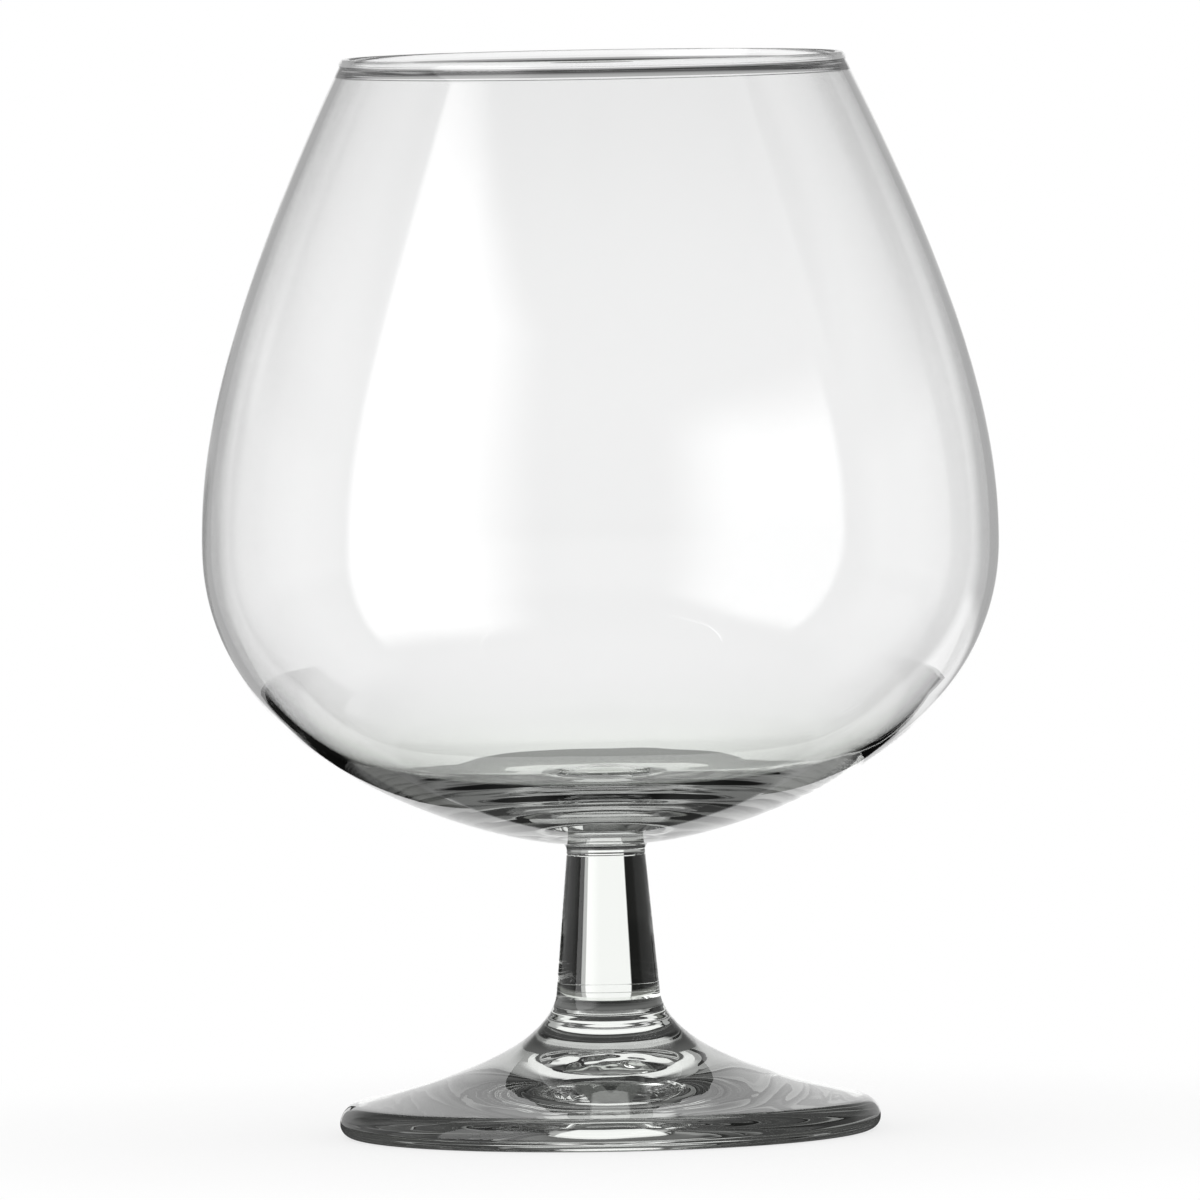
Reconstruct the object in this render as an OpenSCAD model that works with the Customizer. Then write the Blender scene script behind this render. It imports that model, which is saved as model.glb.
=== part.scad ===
// Brandy snifter: a blown bowl, a pressed stem and a pressed foot, fused end to end.
// Millimetres, +Z up, origin at the middle of the foot's resting ring.

/* [Bowl] */
// Height of the bowl, from its underside to the top of the rim
bowl_h = 106.6; // [95:0.1:120]
// Outside diameter at the belly
belly_d = 108; // [100:0.5:120]
// Height of the widest point above the bowl's underside
belly_rise = 40.6; // [36:0.1:48]
// Outside diameter of the rim, across its bead
rim_d = 68.6; // [60:0.1:78]
// Lean of the wall at the rim, in degrees from upright
rim_lean = 26; // [20:0.5:30]
// Thickness of the fire-polished bead round the rim
bead_d = 1.6; // [1.4:0.1:2.2]
// Wall thickness just under the bead
rim_wall = 1.1; // [0.9:0.05:1.35]
// Wall thickness at the belly
belly_wall = 1.2; // [1:0.05:2]
// Glass thickness in the middle of the bowl's base, without the dome
base_wall = 8; // [6:0.1:10]
// Diameter of the low dome in the middle of the bowl's floor
dome_d = 20; // [15:0.5:26]
// Rise of that dome
dome_h = 0.8; // [0.2:0.1:1.2]

/* [Neck and stem] */
// Diameter of the neck under the bowl, and of the stem's upper end
neck_d = 10.7; // [9:0.1:13]
// Length of the neck, from the bowl's underside to the upper seam
neck_len = 1.6; // [1.2:0.1:4]
// Radius of the fillet between the bowl's underside and its neck
neck_fillet = 1; // [0.4:0.05:1.1]
// Length of the stem between its two seams
stem_len = 18.4; // [10:0.1:40]
// Diameter of the stem's lower end
stem_low_d = 14; // [12:0.1:18]
// Depth of the groove that each fused seam leaves round the glass
seam = 0.12; // [0.05:0.01:0.3]

/* [Foot] */
// Diameter of the foot
foot_d = 73.3; // [66:0.1:84]
// Height of the foot, from the table to the lower seam
foot_h = 19.4; // [16:0.1:24]
// Slope of the foot's top at its edge, in degrees
foot_slope = 12; // [8:0.5:16]
// Radius of the edge above its widest line
edge_top_r = 2.85; // [2:0.05:3.5]
// Radius of the edge below its widest line
edge_low_r = 1.7; // [1:0.05:2.2]
// Width of the flat ring that the glass rests on
rest_ring = 1.2; // [0.8:0.1:3]
// Rise of the hollow underside
hollow_h = 2.6; // [1.4:0.1:3]
// Diameter of the kick in the middle of the underside
kick_d = 14.8; // [10:0.1:18]
// Further rise of the kick
kick_h = 2; // [1:0.1:3.4]

/* [Hidden] */
$fn = 144;
// Straight runs along each curve of an outline, and round each small arc
curve_steps = 28;
arc_steps = 10;

neck_r = neck_d / 2;
stem_low_r = stem_low_d / 2;
belly_r = belly_d / 2;
foot_r = foot_d / 2;
kick_r = kick_d / 2;
dome_r = dome_d / 2;
bead_r = bead_d / 2;

// Heights of the seams and of the bowl above the table
low_seam_h = foot_h;
top_seam_h = low_seam_h + stem_len;
bowl_low_h = top_seam_h + neck_len;
belly_h = bowl_low_h + belly_rise;
glass_h = bowl_low_h + bowl_h;

// How far each end of a curve keeps its first direction, as a share of the curve's own reach
rim_share = 0.66;
shoulder_share = 0.15;
belly_share = 0.767;
base_share = 0.12;
flare_share = 1;
stem_run_share = 0.12;

// A point on a smooth curve from a to d that leaves a towards b and reaches d from c
function curve(a, b, c, d, t) =
    a * pow(1 - t, 3) + 3 * b * pow(1 - t, 2) * t + 3 * c * (1 - t) * pow(t, 2) + d * pow(t, 3);

// The unit direction of the same curve at t
function heading(a, b, c, d, t) =
    let (v = (b - a) * pow(1 - t, 2) + 2 * (c - b) * (1 - t) * t + (d - c) * pow(t, 2)) v / norm(v);

// Points on an arc about centre c, from angle a to angle b
function arc(c, r, a, b) =
    [for (i = [0 : arc_steps]) let (u = a + (b - a) * i / arc_steps) c + r * [cos(u), sin(u)]];

// The rim's bead: its section's centre, and the angles where the wall's two faces meet it
bead_c = [rim_d / 2 - bead_r, glass_h - bead_r];
bead_drop = acos(rim_wall / bead_d);
bead_out = rim_lean - bead_drop;
bead_in = rim_lean + 180 + bead_drop;

// The bowl's outside: down from the bead to the belly, then in under the bowl to the neck's fillet
wall_top = bead_c + bead_r * [cos(bead_out), sin(bead_out)];
wall_reach = wall_top.y - belly_h;
shoulder = [
    wall_top,
    wall_top + rim_share * wall_reach * [sin(rim_lean), -cos(rim_lean)],
    [belly_r, belly_h + shoulder_share * wall_reach],
    [belly_r, belly_h]
];
underside = [
    [belly_r, belly_h],
    [belly_r, belly_h - belly_share * belly_rise],
    [neck_r + neck_fillet + base_share * belly_r, bowl_low_h],
    [neck_r + neck_fillet, bowl_low_h]
];

// Wall thickness above the belly at share t of the way down, and below it at radius r
function shoulder_wall(t) = rim_wall + (belly_wall - rim_wall) * t;
function base_wall_at(r) = belly_wall + (base_wall - belly_wall) * pow(1 - pow(r / belly_r, 2), 6)
    + dome_h * max(0, 1 - pow(r / dome_r, 2));

// The outside point at share t of a curve, moved inward by the wall w
function outside(k, t) = curve(k[0], k[1], k[2], k[3], t);
function inside(k, t, w) = let (h = heading(k[0], k[1], k[2], k[3], t)) outside(k, t) + w * [h.y, -h.x];

// Blown bowl with its rim bead, its thick base and the neck under it
module bowl() {
    color([0.87, 0.92, 0.91, 0.35])
    rotate_extrude()
    polygon(concat(
        [[0, top_seam_h], [neck_r - seam, top_seam_h], [neck_r, top_seam_h + seam]],
        arc([neck_r + neck_fillet, bowl_low_h - neck_fillet], neck_fillet, 180, 90),
        [for (i = [curve_steps - 1 : -1 : 0]) outside(underside, i / curve_steps)],
        [for (i = [curve_steps - 1 : -1 : 1]) outside(shoulder, i / curve_steps)],
        arc(bead_c, bead_r, bead_out, bead_in),
        [for (i = [1 : curve_steps]) let (t = i / curve_steps) inside(shoulder, t, shoulder_wall(t))],
        [for (i = [1 : curve_steps]) let (t = i / curve_steps)
            inside(underside, t, base_wall_at(outside(underside, t).x))],
        [for (i = [1 : arc_steps]) let (r = underside[3].x * (1 - i / arc_steps))
            [r, bowl_low_h + base_wall_at(r)]]
    ));
}

// Solid stem that widens towards the foot, with its two ends drawn in at the seams
module stem() {
    color([0.84, 0.9, 0.89, 0.35])
    rotate_extrude()
    polygon([
        [0, low_seam_h],
        [stem_low_r - seam, low_seam_h],
        [stem_low_r, low_seam_h + seam],
        [neck_r, top_seam_h - seam],
        [neck_r - seam, top_seam_h],
        [0, top_seam_h]
    ]);
}

// The foot's top: it carries on the stem's taper, flares out and runs down to the edge
taper = atan2(stem_low_r - neck_r, stem_len);
edge_c = [foot_r - edge_top_r, edge_low_r];
flare_end = edge_c + edge_top_r * [sin(foot_slope), cos(foot_slope)];
flare_run = flare_end.x - stem_low_r;
flare_drop = foot_h - flare_end.y;
flare = [
    [stem_low_r, foot_h - seam],
    [stem_low_r, foot_h - seam] + stem_run_share * flare_drop * [sin(taper), -cos(taper)],
    flare_end + flare_share * flare_run * [-cos(foot_slope), sin(foot_slope)],
    flare_end
];

// The hollow underside: its radius, its height at radius r, and the kick's arc above it
rest_out_r = foot_r - edge_low_r;
rest_in_r = rest_out_r - rest_ring;
function hollow(r) = hollow_h * (1 - pow(r / rest_in_r, 2));
kick_foot_h = hollow(kick_r);
kick_arc_r = (pow(kick_r, 2) + pow(kick_h, 2)) / (2 * kick_h);
kick_c = [0, kick_foot_h + kick_h - kick_arc_r];

// Pressed foot with a rounded edge and a kick in its hollow underside
module foot() {
    color([0.85, 0.91, 0.9, 0.35])
    rotate_extrude()
    polygon(concat(
        [[0, foot_h], [stem_low_r - seam, foot_h]],
        [for (i = [0 : curve_steps - 1]) outside(flare, i / curve_steps)],
        arc(edge_c, edge_top_r, 90 - foot_slope, 0),
        arc([rest_out_r, edge_low_r], edge_low_r, 0, -90),
        [for (i = [0 : arc_steps - 1]) let (r = rest_in_r + (kick_r - rest_in_r) * i / arc_steps)
            [r, hollow(r)]],
        arc(kick_c, kick_arc_r, acos(kick_r / kick_arc_r), 90)
    ));
}

bowl();
stem();
foot();
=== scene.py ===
"""Brandy snifter in clear glass: a blown bowl, a pressed stem and a pressed foot, fused end to end."""

import math

import bmesh
import bpy
import numpy as np
from mathutils import Matrix, Vector


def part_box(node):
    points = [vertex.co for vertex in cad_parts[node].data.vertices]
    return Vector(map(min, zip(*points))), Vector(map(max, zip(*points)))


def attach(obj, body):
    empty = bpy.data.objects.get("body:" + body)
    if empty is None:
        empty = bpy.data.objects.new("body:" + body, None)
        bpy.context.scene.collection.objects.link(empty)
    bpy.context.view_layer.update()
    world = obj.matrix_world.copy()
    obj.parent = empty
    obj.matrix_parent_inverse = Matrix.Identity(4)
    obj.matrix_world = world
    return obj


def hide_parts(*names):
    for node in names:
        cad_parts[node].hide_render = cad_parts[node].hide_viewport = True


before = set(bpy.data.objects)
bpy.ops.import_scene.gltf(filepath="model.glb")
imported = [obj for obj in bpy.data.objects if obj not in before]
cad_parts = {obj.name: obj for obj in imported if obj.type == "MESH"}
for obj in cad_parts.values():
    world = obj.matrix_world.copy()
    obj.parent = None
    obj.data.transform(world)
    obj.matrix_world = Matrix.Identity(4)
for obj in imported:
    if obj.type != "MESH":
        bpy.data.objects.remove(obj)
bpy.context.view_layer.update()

MM = 0.001
TO_DEGREES = 180 / math.pi
WHITE = (1, 1, 1, 1)
LIGHT_BOUNCES = 32

# Mesh steps round the axis, along a curve, round an arc, down a plain run, and in to the axis
ROUND_STEPS = 240
CURVE_STEPS = 84
ARC_STEPS = 16
RUN_STEPS = 40
CENTRE_STEPS = 24


# Sizes of the glass, in millimetres, read from the frame where a node gives them

LOW, HIGH = 0, 1
X, Z = 0, 2

GLASS_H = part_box("bowl")[HIGH][Z] / MM
TOP_SEAM_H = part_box("stem")[HIGH][Z] / MM
LOW_SEAM_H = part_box("stem")[LOW][Z] / MM
FOOT_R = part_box("foot")[HIGH][X] / MM

BELLY_R = 54.0
BELLY_RISE = 40.6
NECK_LEN = 1.6
NECK_R = 5.35
NECK_FILLET = 1.0
RIM_R = 34.3
BEAD_R = 0.8
RIM_WALL = 1.1
BELLY_WALL = 1.2
BASE_WALL = 8.0
BASE_POWER = 6
FLOOR_DOME_R = 10
FLOOR_DOME_H = 0.8
RIM_LEAN = math.radians(26)
STEM_LOW_R = 7.0
SEAM = 0.12
LOW_SEAM = 0.03
EDGE_TOP_R = 2.85
EDGE_LOW_R = 1.7
REST_RING = 1.2
FOOT_SLOPE = math.radians(12)
HOLLOW_H = 2.6
KICK_R = 7.4
KICK_H = 2.0

BOWL_LOW_H = TOP_SEAM_H + NECK_LEN
BELLY_H = BOWL_LOW_H + BELLY_RISE
REST_OUT_R = FOOT_R - EDGE_LOW_R
REST_IN_R = REST_OUT_R - REST_RING

# How far each end of a curve keeps its first direction, as a share of the curve's own reach
RIM_SHARE = 0.66
SHOULDER_SHARE = 0.15
BELLY_SHARE = 0.767
BASE_SHARE = 0.12
STEM_RUN_SHARE = 0.12


# Outlines: each is a list of (radius, height) from the axis, round the section and back to the axis

def curve(points, steps):
    """Places and directions along a smooth curve that leaves a towards b and reaches d from c."""
    a, b, c, d = (np.array(p, float) for p in points)
    t = np.linspace(0, 1, steps)[:, None]
    place = a * (1 - t) ** 3 + 3 * b * (1 - t) ** 2 * t + 3 * c * (1 - t) * t ** 2 + d * t ** 3
    way = (b - a) * (1 - t) ** 2 + 2 * (c - b) * (1 - t) * t + (d - c) * t ** 2
    return place, way / np.linalg.norm(way, axis=1)[:, None]


def arc(centre, radius, start, end, steps=ARC_STEPS):
    t = np.linspace(start, end, steps)
    return np.array(centre) + radius * np.column_stack([np.cos(t), np.sin(t)])


def inward(place, way, wall):
    return place + np.column_stack([way[:, 1], -way[:, 0]]) * np.reshape(wall, (-1, 1))


def base_wall_at(radius):
    """Glass thickness under the belly: it grows towards the axis, with a low dome in the middle."""
    dome = FLOOR_DOME_H * np.clip(1 - (radius / FLOOR_DOME_R) ** 2, 0, 1)
    return BELLY_WALL + (BASE_WALL - BELLY_WALL) * (1 - (radius / BELLY_R) ** 2) ** BASE_POWER + dome


def bowl_outline():
    bead = np.array([RIM_R - BEAD_R, GLASS_H - BEAD_R])
    drop = math.acos(RIM_WALL / 2 / BEAD_R)
    top = bead + BEAD_R * np.array([math.cos(RIM_LEAN - drop), math.sin(RIM_LEAN - drop)])
    reach = top[1] - BELLY_H
    shoulder = [
        top,
        top + RIM_SHARE * reach * np.array([math.sin(RIM_LEAN), -math.cos(RIM_LEAN)]),
        (BELLY_R, BELLY_H + SHOULDER_SHARE * reach),
        (BELLY_R, BELLY_H),
    ]
    neck_end = NECK_R + NECK_FILLET
    underside = [
        (BELLY_R, BELLY_H),
        (BELLY_R, BELLY_H - BELLY_SHARE * BELLY_RISE),
        (neck_end + BASE_SHARE * BELLY_R, BOWL_LOW_H),
        (neck_end, BOWL_LOW_H),
    ]
    up_place, up_way = curve(shoulder, CURVE_STEPS)
    low_place, low_way = curve(underside, CURVE_STEPS)
    up_wall = np.linspace(RIM_WALL, BELLY_WALL, CURVE_STEPS)
    low_wall = base_wall_at(low_place[:, 0])
    middle_r = np.linspace(neck_end, 0, CENTRE_STEPS)[1:]
    return np.vstack([
        [(0, TOP_SEAM_H), (NECK_R - SEAM, TOP_SEAM_H), (NECK_R, TOP_SEAM_H + SEAM)],
        arc((neck_end, BOWL_LOW_H - NECK_FILLET), NECK_FILLET, math.pi, math.pi / 2),
        low_place[::-1][1:],
        up_place[::-1][1:-1],
        arc(bead, BEAD_R, RIM_LEAN - drop, RIM_LEAN + math.pi + drop),
        inward(up_place, up_way, up_wall)[1:],
        inward(low_place, low_way, low_wall)[1:],
        np.column_stack([middle_r, BOWL_LOW_H + base_wall_at(middle_r)]),
    ])


def stem_outline():
    heights = np.linspace(LOW_SEAM_H + LOW_SEAM, TOP_SEAM_H - SEAM, RUN_STEPS)
    share = (heights - LOW_SEAM_H) / (TOP_SEAM_H - LOW_SEAM_H)
    radii = STEM_LOW_R + (NECK_R - STEM_LOW_R) * share
    return np.vstack([
        [(0, LOW_SEAM_H), (STEM_LOW_R - LOW_SEAM, LOW_SEAM_H)],
        np.column_stack([radii, heights]),
        [(NECK_R - SEAM, TOP_SEAM_H), (0, TOP_SEAM_H)],
    ])


def foot_outline():
    edge = np.array([FOOT_R - EDGE_TOP_R, EDGE_LOW_R])
    slope = np.array([math.cos(FOOT_SLOPE), -math.sin(FOOT_SLOPE)])
    end = edge + EDGE_TOP_R * np.array([math.sin(FOOT_SLOPE), math.cos(FOOT_SLOPE)])
    start = np.array([STEM_LOW_R, LOW_SEAM_H - LOW_SEAM])
    taper = math.atan2(STEM_LOW_R - NECK_R, TOP_SEAM_H - LOW_SEAM_H)
    run, drop = end - start
    flare = [
        start,
        start - STEM_RUN_SHARE * drop * np.array([math.sin(taper), -math.cos(taper)]),
        end - run * slope,
        end,
    ]
    hollow_r = np.linspace(REST_IN_R, KICK_R, RUN_STEPS)
    hollow = np.column_stack([hollow_r, HOLLOW_H * (1 - (hollow_r / REST_IN_R) ** 2)])
    kick_arc_r = (KICK_R ** 2 + KICK_H ** 2) / (2 * KICK_H)
    kick_c = (0, hollow[-1][1] + KICK_H - kick_arc_r)
    return np.vstack([
        [(0, LOW_SEAM_H), (STEM_LOW_R - LOW_SEAM, LOW_SEAM_H)],
        curve(flare, CURVE_STEPS)[0][:-1],
        arc(edge, EDGE_TOP_R, math.pi / 2 - FOOT_SLOPE, 0),
        arc((REST_OUT_R, EDGE_LOW_R), EDGE_LOW_R, 0, -math.pi / 2)[1:],
        hollow[:-1],
        arc(kick_c, kick_arc_r, math.acos(KICK_R / kick_arc_r), math.pi / 2, CENTRE_STEPS),
    ])


# Relief of the pressed foot, in millimetres

FOOT_WAVE = 0.03
KICK_WAVE = 0.12

# Each set of waves: its seed, how many waves, and the lengths of the shortest and the longest
TOP_WAVES = (3, 14, 14, 30)
HOLLOW_WAVES = (5, 14, 10, 22)
KICK_WAVES = (8, 16, 2.5, 6)

# The radii between which each set shows, and how far in from them it has its full depth
TOP_SPAN = (8, FOOT_R - 2.5, 4)
HOLLOW_SPAN = (KICK_R, REST_IN_R, 3)
KICK_SPAN = (-9, KICK_R - 0.4, 3)

# Fine rings round the foot just under the stem
RING_WAVE = 0.012
RING_PITCH = 0.9
RING_SPAN = (7.2, 9.6, 0.8)


def waves(seed, count, short, long):
    """Soft random waviness: the height at (x, y), mostly between -1 and 1."""
    rng = np.random.default_rng(seed)
    turn = rng.uniform(0, 2 * math.pi, count)
    rate = 2 * math.pi / rng.uniform(short, long, count)
    start = rng.uniform(0, 2 * math.pi, count)

    def height(x, y):
        total = 0
        for t, k, s in zip(turn, rate, start):
            total = total + np.sin(k * (x * math.cos(t) + y * math.sin(t)) + s)
        return total / math.sqrt(count)

    return height


def window(value, low, high, soft):
    """A share that rises from 0 at low to 1, and falls from 1 to 0 at high."""
    rise = np.clip((value - low) / soft, 0, 1)
    fall = np.clip((high - value) / soft, 0, 1)
    share = np.minimum(rise, fall)
    return share * share * (3 - 2 * share)


def foot_relief():
    top_waves = waves(*TOP_WAVES)
    hollow_waves = waves(*HOLLOW_WAVES)
    kick_waves = waves(*KICK_WAVES)

    def relief(i, radius, height, turns):
        """How far the glass stands out round the ring at point i of the foot's outline."""
        x, y = radius * np.cos(turns), radius * np.sin(turns)
        if i <= CURVE_STEPS:
            rings = RING_WAVE * window(radius, *RING_SPAN) * np.sin(2 * math.pi * height / RING_PITCH)
            return FOOT_WAVE * window(radius, *TOP_SPAN) * top_waves(x, y) + rings
        if radius < KICK_R:
            return KICK_WAVE * window(radius, *KICK_SPAN) * kick_waves(x, y)
        return FOOT_WAVE * window(radius, *HOLLOW_SPAN) * hollow_waves(x, y)

    return relief


# Meshes

# A point nearer the axis than this is on it
AXIS_R = 1e-6
SHARP_ANGLE = math.radians(40)


def put(name, mesh, materials):
    """Turn a finished mesh into an object of the scene."""
    data = bpy.data.meshes.new(name)
    mesh.to_mesh(data)
    mesh.free()
    for material in materials:
        data.materials.append(material)
    thing = bpy.data.objects.new(name, data)
    bpy.context.collection.objects.link(thing)
    return thing


def revolve(name, outline, materials, joins, relief=None):
    """Turn an outline about the axis; the outline's runs numbered in joins take the second material."""
    mesh = bmesh.new()
    turns = np.linspace(0, 2 * math.pi, ROUND_STEPS, endpoint=False)
    way = np.gradient(outline, axis=0)
    way /= np.linalg.norm(way, axis=1)[:, None]
    outward = np.column_stack([way[:, 1], -way[:, 0]])
    rings = []
    for i, (radius, height) in enumerate(outline):
        if radius < AXIS_R:
            rings.append([mesh.verts.new((0, 0, height * MM))])
            continue
        depth = relief(i, radius, height, turns) if relief else np.zeros(ROUND_STEPS)
        radii = radius + depth * outward[i, 0]
        heights = height + depth * outward[i, 1]
        rings.append([
            mesh.verts.new((r * math.cos(t) * MM, r * math.sin(t) * MM, h * MM))
            for t, r, h in zip(turns, radii, heights)
        ])
    for run, (low, high) in enumerate(zip(rings, rings[1:])):
        for i in range(ROUND_STEPS):
            j = (i + 1) % ROUND_STEPS
            corners = [low[i % len(low)], low[j % len(low)], high[j % len(high)], high[i % len(high)]]
            face = mesh.faces.new(list(dict.fromkeys(corners)))
            face.smooth = True
            face.material_index = 1 if run in joins else 0
    bmesh.ops.recalc_face_normals(mesh, faces=mesh.faces)
    piece = put(name, mesh, materials)
    piece.data.set_sharp_from_angle(angle=SHARP_ANGLE)
    return piece


# Nodes: a value that is fed to a socket is a number or another node's output

def add(tree, kind, **values):
    node = tree.nodes.new(kind)
    for key, value in values.items():
        setattr(node, key, value)
    return node


def feed(tree, socket, value):
    if isinstance(value, (int, float)):
        socket.default_value = value
    else:
        tree.links.new(value, socket)


def place_on(tree, kind="Object"):
    return add(tree, "ShaderNodeTexCoord").outputs[kind]


def parts(tree, place):
    split = add(tree, "ShaderNodeSeparateXYZ")
    tree.links.new(place, split.inputs[0])
    return tuple(split.outputs)


def new_material(name):
    material = bpy.data.materials.new(name)
    material.use_nodes = True
    material.node_tree.nodes.clear()
    return material, material.node_tree


def finish_material(tree, shader):
    out = add(tree, "ShaderNodeOutputMaterial")
    tree.links.new(shader.outputs[0], out.inputs["Surface"])


def mix_shaders(tree, share, first, last):
    mixed = add(tree, "ShaderNodeMixShader")
    feed(tree, mixed.inputs[0], share)
    tree.links.new(first.outputs[0], mixed.inputs[1])
    tree.links.new(last.outputs[0], mixed.inputs[2])
    return mixed


def glow(tree, strength, colour=WHITE):
    shader = add(tree, "ShaderNodeEmission")
    shader.inputs["Color"].default_value = colour
    feed(tree, shader.inputs["Strength"], strength)
    return shader


def nothing(tree):
    return add(tree, "ShaderNodeBsdfTransparent")


class Maths:
    """Short names for a node tree's sums."""

    def __init__(self, tree):
        self.tree = tree

    def op(self, kind, *values):
        node = add(self.tree, "ShaderNodeMath", operation=kind)
        for socket, value in zip(node.inputs, values):
            feed(self.tree, socket, value)
        return node.outputs[0]

    def times(self, first, *others):
        for other in others:
            first = self.op("MULTIPLY", first, other)
        return first

    def most(self, first, *others):
        for other in others:
            first = self.op("MAXIMUM", first, other)
        return first

    def step(self, value, low, high, first=0.0, last=1.0):
        """First below low and last above high, with a soft run between."""
        node = add(self.tree, "ShaderNodeMapRange", interpolation_type="SMOOTHSTEP")
        names = ("Value", "From Min", "From Max", "To Min", "To Max")
        for name, setting in zip(names, (value, low, high, first, last)):
            feed(self.tree, node.inputs[name], setting)
        return node.outputs["Result"]

    def fall(self, value, low, high):
        return self.step(value, low, high, 1.0, 0.0)

    def band(self, value, rise, fall):
        return self.times(self.step(value, *rise), self.fall(value, *fall))

    def blend(self, first, last, share):
        return self.op("ADD", self.times(first, self.op("SUBTRACT", 1, share)), self.times(last, share))

    def azimuth(self, x, y):
        """Degrees round the glass from straight behind it, positive to the right."""
        return self.times(self.op("ARCTAN2", x, y), TO_DEGREES)


# Rays, which only the stage and the room tell apart

# Faces of glass that a ray has crossed: the first, both of one wall, and all four of two walls
FIRST_FACE = 1
ONE_WALL = 2
TWO_WALLS = 4
HALF = 0.5

# Painted shade in thick glass: the share of the room's tone that a ray still shows, from the first to the
# fourth time that the glass mirrors it
DEEP_SHADE = (1, 4, 1.0, 0.5)


class Rays:
    """How a ray came: straight through the glass or mirrored by it, and across how many of its faces."""

    def __init__(self, m):
        self.m = m
        self.path = add(m.tree, "ShaderNodeLightPath").outputs
        self.mirrored = m.op("MINIMUM", self.path["Glossy Depth"], 1)
        self.through = m.op("SUBTRACT", 1, self.mirrored)

    def mirrored_once(self):
        return self.m.times(self.mirrored, self.m.op("LESS_THAN", self.path["Glossy Depth"], 1 + HALF))

    def past(self, faces):
        """1 for a ray that has crossed at least so many faces."""
        return self.m.op("GREATER_THAN", self.path["Transmission Depth"], faces - HALF)

    def within(self, faces):
        """1 for a ray that has crossed at most so many faces."""
        return self.m.op("LESS_THAN", self.path["Transmission Depth"], faces + HALF)


def painted_deep_shade(m, path):
    """Painted shade: the share of a stage tone that a ray still shows once the glass has mirrored it more
    than once.
    """
    return m.step(path["Glossy Depth"], *DEEP_SHADE)


# Glass

IOR = 1.52
THICK_TINTS = ((0.972, 0.996, 0.963, 1), (0.982, 1, 0.974, 1))
THIN_TINT = (0.998, 0.999, 0.999, 1)

# Between these heights, in metres, the bowl's glass turns from thick to thin, and its tint fades
THIN_FROM = (0.046, 0.06)

# Slow waviness of each glass: its rate, its depth in millimetres, and its rate along each axis as a share
BLOWN_WAVE = (90, 0.03, (1, 1, 0.4))
PRESSED_WAVE = (140, 0.03, (1, 1, 1))


def glass(name, rate, depth, stretch):
    """Clear soda glass, faintly green where it is thick, with the slow waviness of its making."""
    material, tree = new_material(name)
    place = place_on(tree)
    height = parts(tree, place)[Z]
    pull = add(tree, "ShaderNodeMapping")
    pull.inputs["Scale"].default_value = stretch
    tree.links.new(place, pull.inputs[0])
    slow = add(tree, "ShaderNodeTexNoise")
    slow.inputs["Scale"].default_value = rate
    slow.inputs["Detail"].default_value = 1.0
    tree.links.new(pull.outputs[0], slow.inputs["Vector"])

    tint = add(tree, "ShaderNodeMix", data_type="RGBA")
    tint.inputs["A"].default_value, tint.inputs["B"].default_value = THICK_TINTS
    tree.links.new(slow.outputs[0], tint.inputs["Factor"])
    shade = add(tree, "ShaderNodeMix", data_type="RGBA")
    tree.links.new(Maths(tree).step(height, *THIN_FROM), shade.inputs["Factor"])
    tree.links.new(tint.outputs["Result"], shade.inputs["A"])
    shade.inputs["B"].default_value = THIN_TINT

    dent = add(tree, "ShaderNodeBump")
    dent.inputs["Strength"].default_value = 1.0
    dent.inputs["Distance"].default_value = depth * MM
    tree.links.new(slow.outputs[0], dent.inputs["Height"])

    body = add(tree, "ShaderNodeBsdfPrincipled")
    body.inputs["Roughness"].default_value = 0.0
    body.inputs["IOR"].default_value = IOR
    body.inputs["Transmission Weight"].default_value = 1.0
    tree.links.new(shade.outputs["Result"], body.inputs["Base Color"])
    tree.links.new(dent.outputs[0], body.inputs["Normal"])
    finish_material(tree, body)
    return material


def joined():
    """The faces inside the glass where two pieces are fused, which show nothing."""
    material, tree = new_material("fused_join")
    finish_material(tree, nothing(tree))
    return material


def glass_pieces():
    blown = glass("blown_glass", *BLOWN_WAVE)
    pressed = glass("pressed_glass", *PRESSED_WAVE)
    join = joined()
    stem_line = stem_outline()
    bowl = revolve("bowl_glass", bowl_outline(), [blown, join], (0,))
    stem = revolve("stem_glass", stem_line, [pressed, join], (0, len(stem_line) - 2))
    foot = revolve("foot_glass", foot_outline(), [pressed, join], (0,), foot_relief())
    for piece, node, finish in (
        (bowl, "bowl", "blown_glass"),
        (stem, "stem", "pressed_glass"),
        (foot, "foot", "pressed_glass"),
    ):
        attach(piece, "root")
        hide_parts(node)


# Room: the tones that the glass shows of it, 0 for black and 1 for white, and their soft ends in degrees

QUARTER_TURN = 90
PLAIN_TONE = 1.0

# Walls beside the glass and round the rest, then higher up, overhead, and down at the table
SIDE_TONE = 0.4
ROOM_TONE = 0.06
SIDE_END = (46, 60)
HIGH_TONE = 0.08
HIGH_FROM = (8, 20)
OVER_TONE = 0.15
OVER_FROM = (50, 62)
LOW_TONE = 0.2
LOW_UP_TO = (-45, -6)

# Pale room seen straight through the glass: in front, square to the sides, or low down
CLEAR_TONE = 0.95
CLEAR_FRONT = (100, 125)
CLEAR_SQUARE = (8, 12)
CLEAR_LOW = (-11, -7)
CLEAR_UP_TO = (10, 25)

# Gap between the lit panel and the walls: its ends, and its heights and tones from low to high
GAP_END = (27, 31)
GAP_FROM = (-30, -26)
GAP_TONES = (10, 30, 0.45, 0.03)

# Pale room in front, for mirrored rays that have crossed at least one wall
FRONT_TONE = 0.35
FRONT_FROM = (92, 108)
FRONT_BAND = ((0, 8), (24, 36))

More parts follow.
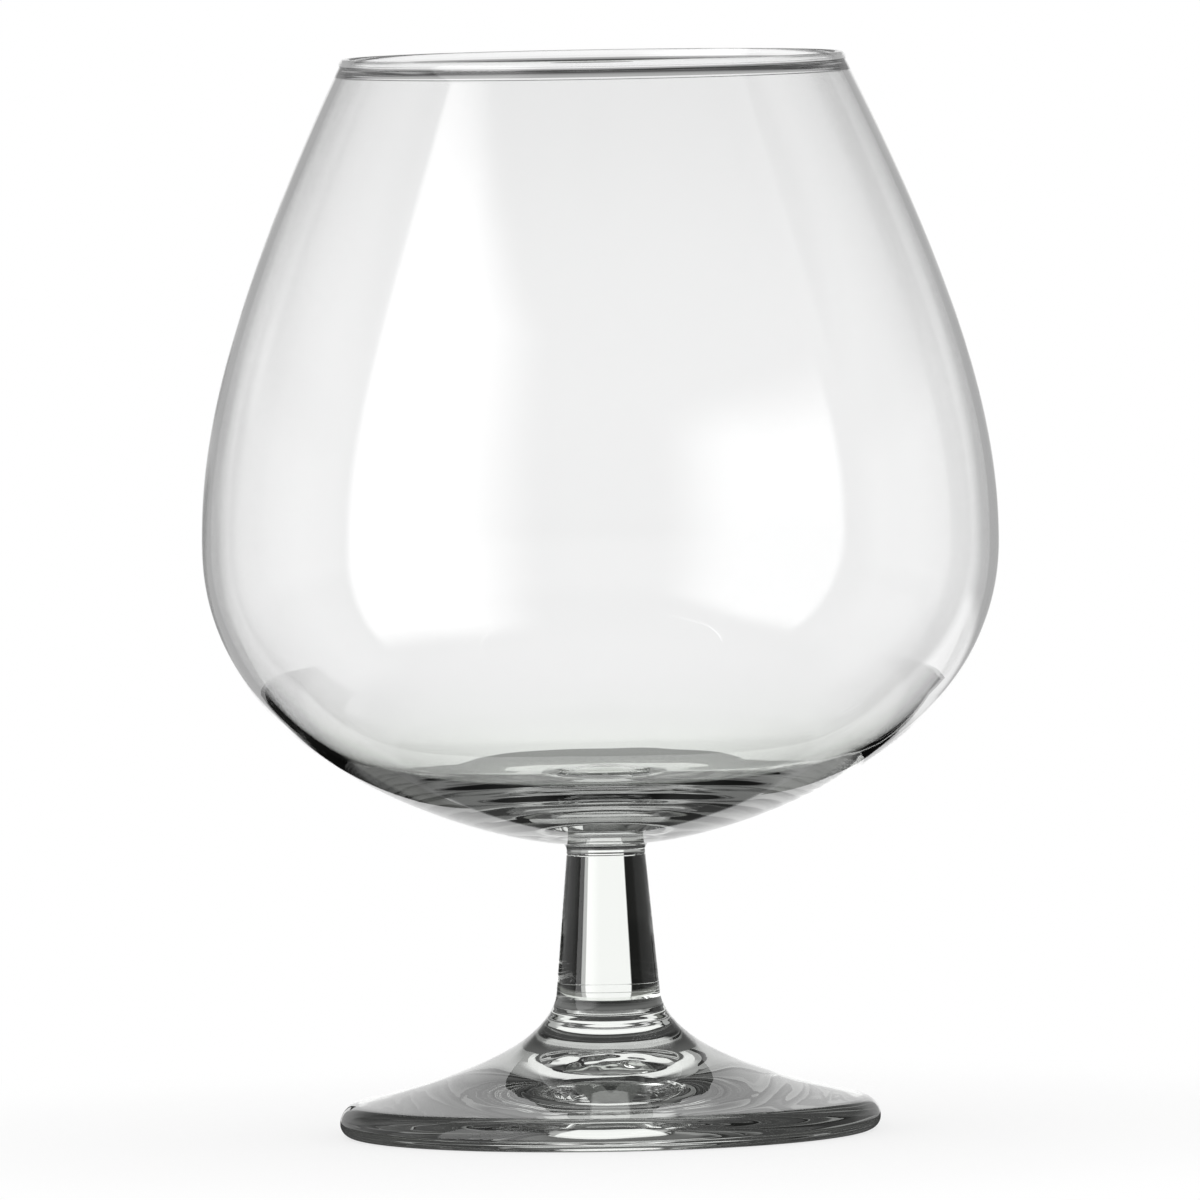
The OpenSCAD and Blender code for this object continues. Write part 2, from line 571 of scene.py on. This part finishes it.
# Each side wall that the glass mirrors: its left, right, lower and upper soft ends, and its tone
SIDES = (
    ((-110, -80), (-52, -42), (-50, -40), (8, 20), 0.62),
    ((-110, -80), (-60, -42), (8, 20), (38, 50), 0.48),
    ((44, 62), (90, 102), (-35, -22), (8, 16), 0.33),
    ((8, 12), (38, 44), (-31, -27), (-13, -9), 0.92),
)

# Soft box at the front left, whose inner side leans in above a height
BOX_TONE = 2.1
BOX_INNER = (-165, -136)
BOX_OUTER = (-103, -100)
BOX_LEAN_FROM = 33
BOX_LEAN = 2.0
BOX_LOW = (-40, -28)
BOX_LOW_FAR = (-28, -16)
BOX_TOP = (38, 47)


def walls(m, rays, azimuth, height):
    """The tone of the room in each direction, without its soft box."""
    away = m.op("ABSOLUTE", azimuth)
    square = m.times(m.op("ROUND", m.op("DIVIDE", azimuth, QUARTER_TURN)), QUARTER_TURN)
    off_square = m.op("ABSOLUTE", m.op("SUBTRACT", azimuth, square))

    tone = m.step(away, *SIDE_END, SIDE_TONE, ROOM_TONE)
    tone = m.blend(tone, HIGH_TONE, m.step(height, *HIGH_FROM))
    tone = m.blend(tone, OVER_TONE, m.step(height, *OVER_FROM))
    tone = m.blend(tone, LOW_TONE, m.fall(height, *LOW_UP_TO))

    clear = m.most(m.step(away, *CLEAR_FRONT), m.fall(off_square, *CLEAR_SQUARE), m.fall(height, *CLEAR_LOW))
    tone = m.blend(tone, CLEAR_TONE, m.times(clear, m.fall(height, *CLEAR_UP_TO), rays.through))
    gap = m.times(m.fall(away, *GAP_END), m.step(height, *GAP_FROM))
    tone = m.blend(tone, m.step(height, *GAP_TONES), gap)
    front = m.times(rays.mirrored, rays.past(ONE_WALL), m.band(height, *FRONT_BAND))
    tone = m.blend(tone, FRONT_TONE, m.times(front, m.step(away, *FRONT_FROM)))
    for left, right, low, high, side_tone in SIDES:
        side = m.times(m.band(azimuth, left, right), m.band(height, low, high), rays.mirrored)
        tone = m.blend(tone, side_tone, side)
    return tone


def soft_box(m, rays, azimuth, height):
    """How much of the soft box shows in each direction."""
    lean = m.times(m.most(m.op("SUBTRACT", height, BOX_LEAN_FROM), 0), BOX_LEAN)
    across = m.times(m.step(m.op("SUBTRACT", azimuth, lean), *BOX_INNER), m.fall(azimuth, *BOX_OUTER))
    low = m.blend(m.step(height, *BOX_LOW), m.step(height, *BOX_LOW_FAR), rays.past(TWO_WALLS))
    return m.times(across, low, m.fall(height, *BOX_TOP))


def studio():
    """The room round the glass: plain white to the camera and to matt surfaces, toned in the glass."""
    world = bpy.data.worlds.new("studio")
    bpy.context.scene.world = world
    world.use_nodes = True
    tree = world.node_tree
    tree.nodes.clear()
    m = Maths(tree)
    rays = Rays(m)
    x, y, z = parts(tree, place_on(tree, "Generated"))
    azimuth = m.azimuth(x, y)
    height = m.times(m.op("ARCSINE", z), TO_DEGREES)
    tone = walls(m, rays, azimuth, height)
    tone = m.blend(tone, BOX_TONE, soft_box(m, rays, azimuth, height))
    # Painted shade: the room shows darker to rays that the glass has mirrored more than once
    tone = m.times(tone, painted_deep_shade(m, rays.path))
    plain = m.most(rays.path["Is Camera Ray"], rays.path["Is Diffuse Ray"])

    back = add(tree, "ShaderNodeBackground")
    back.inputs["Color"].default_value = WHITE
    tree.links.new(m.blend(tone, PLAIN_TONE, plain), back.inputs["Strength"])
    out = add(tree, "ShaderNodeOutputWorld")
    tree.links.new(back.outputs[0], out.inputs["Surface"])


# Stage: what stands round the glass, in metres

def stand(name, mesh, material, only_in_glass=True):
    stage = put(name, mesh, [material])
    if only_in_glass:
        stage.visible_camera = False
        stage.visible_shadow = False
        stage.visible_diffuse = False


# Pale floor: matt near the glass, where its shadow falls, and plain white further out
FLOOR_R = 0.6
FLOOR_SIDES = 128
MATT_FADE = (0.084, 0.14, 0.7, 1.0)

# Table round the foot as the glass shows it: painted shade of the glass's shadow near the foot, seen at
# glancing angles and by mirrored rays, where it also stands for a painted reflection of the dark room; steep
# straight rays see the table pale. Its ends for mirrored and for straight rays, and its tones
MIRRORED_END = (0.055, 0.061)
THROUGH_END = (0.034, 0.04)
SHADE_RING_RISE = (0.006, 0.016, 0.03, 0.15)
SHADE_RING_END = (0.016, 0.035)
SHADE_RING_END_TONE = 0.05
STEEP_TONE = 0.9
GLANCING = (0.65, 0.9)

# Grey oval on the table behind the glass, a painted shadow of the stem and bowl that only straight rays
# through two walls see: its middle, half sizes, tone, edge, and the ripple of that edge
SHADOW_AT = (-0.0003, 0.15)
SHADOW_HALF = (0.0155, 0.064)
SHADOW_TONE = 0.42
SHADOW_EDGE = (0.97, 1.03)
RIPPLE = 0.05
RIPPLE_RATE = 700
RIPPLE_START = 1


def painted_table_shade(m, rays, away, far_side):
    """Painted shade of the table by its distance from the axis, and the oval's painted shadow."""
    slant = add(m.tree, "ShaderNodeLayerWeight")
    glancing = m.step(slant.outputs["Facing"], *GLANCING)
    # Painted shadow under the glass, darkest near the foot; glancing and mirrored rays see it, also as a
    # painted reflection of the dark room, and steep straight rays see the table pale
    shade_ring = m.blend(m.step(away, *SHADE_RING_RISE), SHADE_RING_END_TONE, m.step(away, *SHADE_RING_END))
    shade_ring = m.blend(STEEP_TONE, shade_ring, m.most(glancing, rays.mirrored))
    # The painted shadow oval behind the glass, for straight rays through two walls
    return m.blend(shade_ring, SHADOW_TONE, far_side)


def table_end(m, rays, away, x, y, far_side):
    """0 on the table and the painted shadow oval, and 1 beyond them."""
    across, along = (
        m.op("DIVIDE", m.op("SUBTRACT", part, middle), half)
        for part, middle, half in zip((x, y), SHADOW_AT, SHADOW_HALF)
    )
    ripple = m.times(m.op("SINE", m.op("ADD", m.times(x, RIPPLE_RATE), RIPPLE_START)), RIPPLE)
    reach = m.op("ADD", m.op("ADD", m.times(across, across), m.times(along, along)), ripple)
    end = m.blend(m.step(away, *MIRRORED_END), m.step(away, *THROUGH_END), rays.through)
    return m.blend(end, m.step(reach, *SHADOW_EDGE), far_side)


def floor():
    material, tree = new_material("pale_floor")
    m = Maths(tree)
    rays = Rays(m)
    place = place_on(tree)
    x, y, _ = parts(tree, place)
    length = add(tree, "ShaderNodeVectorMath", operation="LENGTH")
    tree.links.new(place, length.inputs[0])
    away = length.outputs["Value"]
    far_side = m.times(rays.through, rays.past(TWO_WALLS))

    matt = add(tree, "ShaderNodeBsdfDiffuse")
    matt.inputs["Color"].default_value = WHITE
    lit = mix_shaders(tree, m.step(away, *MATT_FADE), matt, glow(tree, PLAIN_TONE))
    # Painted shade and painted shadow on the table, which only rays from the glass see
    table_shade_glow = glow(tree, painted_table_shade(m, rays, away, far_side))
    under = mix_shaders(tree, table_end(m, rays, away, x, y, far_side), table_shade_glow, nothing(tree))
    finish_material(tree, mix_shaders(tree, rays.path["Is Camera Ray"], under, lit))

    mesh = bmesh.new()
    bmesh.ops.create_circle(mesh, cap_ends=True, segments=FLOOR_SIDES, radius=FLOOR_R)
    stand("floor", mesh, material, only_in_glass=False)


# Lit panel behind the glass: its place and size, and the sides of its light, softer above a height
PANEL_AWAY = 0.25
PANEL_WIDE = 0.11
PANEL_LOW = -0.15
PANEL_TOP = 0.175
PANEL_SHARP = (0.083, 0.0835)
PANEL_SOFT = (0.076, 0.1)
PANEL_TURN = (0.036, 0.044)

# Its tone, which falls a little towards its top and is lifted in a low band
PANEL_TONE = 1.01
PANEL_FALL = (0.1, 0.15, 1.0, 0.915)
PANEL_LIFT = 0.075
PANEL_LIFTED = ((0, 0.012), (0.014, 0.04))


def panel():
    material, tree = new_material("lit_panel")
    m = Maths(tree)
    path = add(tree, "ShaderNodeLightPath").outputs
    x, _, z = parts(tree, place_on(tree))
    side = m.op("ABSOLUTE", x)
    shown = m.blend(m.fall(side, *PANEL_SHARP), m.fall(side, *PANEL_SOFT), m.step(z, *PANEL_TURN))
    lift = m.op("ADD", 1, m.times(m.band(z, *PANEL_LIFTED), PANEL_LIFT))
    # The panel's tone takes the same painted shade for rays that the glass has mirrored more than once
    tone = glow(tree, m.times(m.step(z, *PANEL_FALL), PANEL_TONE, lift, painted_deep_shade(m, path)))
    finish_material(tree, mix_shaders(tree, shown, nothing(tree), tone))

    mesh = bmesh.new()
    corners = ((-1, PANEL_LOW), (1, PANEL_LOW), (1, PANEL_TOP), (-1, PANEL_TOP))
    mesh.faces.new([mesh.verts.new((end * PANEL_WIDE, PANEL_AWAY, edge)) for end, edge in corners])
    stand("lit_panel", mesh, material)


# Dark cards at both sides of the panel: their spans in azimuth, radius, and lower and upper edges
DARK_SPANS = ((22, 82), (278, 341.5))
DARK_R = 0.15
DARK_EDGES = (-0.06, 0.026)

# Low grey cards in front
GREY_SPANS = ((98, 262),)
GREY_R = 0.062
GREY_EDGES = (-0.004, 0.012)

# Tones of the cards, well below the table's level and above that, with a soft turn between
DARK_TONES = (0.18, 0.008)
GREY_TONES = (0.12, 0.12)
CARD_TURN = (-0.026, -0.014)
CARD_TINT = (0.98, 1, 0.94, 1)
CARD_STEPS = 16

# Gap in the right card for mirrored rays
MIRROR_GAP = ((14, 15), (38, 40))
MIRROR_GAP_FROM = (0.009, 0.011)

# Within this reach and past this azimuth, the bowl's outside mirrors no card
BOWL_REACH = 0.1456
BOWL_SIDE = 20

# Past this azimuth, rays mirrored once show the top of a card faintly: its heights, and how clear it is
FAINT_SIDE = 45
FAINT_TOP = (0.008, 0.022, 0.0, 0.8)


def cards(name, spans, radius, edges, tones, faces):
    """Low cards round the glass, which straight rays across at least so many of its faces don't see."""
    material, tree = new_material(name)
    m = Maths(tree)
    rays = Rays(m)
    x, y, z = parts(tree, place_on(tree))
    azimuth = m.azimuth(x, y)
    away = m.op("ABSOLUTE", azimuth)
    once = rays.mirrored_once()

    straight = m.times(rays.past(faces), rays.through)
    gap = m.times(m.band(azimuth, *MIRROR_GAP), rays.mirrored, m.step(z, *MIRROR_GAP_FROM))
    near = m.times(rays.within(ONE_WALL), m.op("LESS_THAN", rays.path["Ray Length"], BOWL_REACH))
    outer = m.times(once, near, m.op("GREATER_THAN", away, BOWL_SIDE))
    faint = m.times(once, m.step(z, *FAINT_TOP), m.op("GREATER_THAN", away, FAINT_SIDE))
    tone = glow(tree, m.step(z, *CARD_TURN, *tones), CARD_TINT)
    unseen = m.most(straight, gap, outer, faint)
    finish_material(tree, mix_shaders(tree, unseen, tone, nothing(tree)))

    mesh = bmesh.new()
    for start, end in spans:
        columns = []
        for turn in np.radians(np.linspace(start, end, CARD_STEPS + 1)):
            at = (radius * math.sin(turn), radius * math.cos(turn))
            columns.append([mesh.verts.new((*at, edge)) for edge in edges])
        for (a, b), (c, d) in zip(columns, columns[1:]):
            mesh.faces.new((a, c, d, b))
    stand(name, mesh, material)


# Camera

CAMERA_AT = Vector((0, -2.67, 0.206))
AIM = Vector((-0.0002, 0, 0.0722))
PIXEL = 0.1354 * MM
HALF_FRAME = 600
SENSOR = 36.0
ROLL = math.radians(-1.0)
CLIP = (0.1, 20)


def camera():
    data = bpy.data.cameras.new("camera")
    data.sensor_width = SENSOR
    data.lens = SENSOR / 2 * (AIM - CAMERA_AT).length / (HALF_FRAME * PIXEL)
    data.clip_start, data.clip_end = CLIP
    eye = bpy.data.objects.new("camera", data)
    bpy.context.collection.objects.link(eye)
    turn = (AIM - CAMERA_AT).to_track_quat("-Z", "Y").to_matrix().to_4x4()
    eye.matrix_world = Matrix.Translation(CAMERA_AT) @ turn @ Matrix.Rotation(ROLL, 4, "Z")
    bpy.context.scene.camera = eye


def view_and_bounces():
    scene = bpy.context.scene
    scene.view_settings.view_transform = "Standard"
    scene.cycles.max_bounces = LIGHT_BOUNCES
    scene.cycles.glossy_bounces = LIGHT_BOUNCES
    scene.cycles.transmission_bounces = LIGHT_BOUNCES


def build():
    view_and_bounces()
    glass_pieces()
    camera()
    studio()
    floor()
    panel()
    cards("dark_cards", DARK_SPANS, DARK_R, DARK_EDGES, DARK_TONES, TWO_WALLS)
    cards("grey_cards", GREY_SPANS, GREY_R, GREY_EDGES, GREY_TONES, FIRST_FACE)


build()
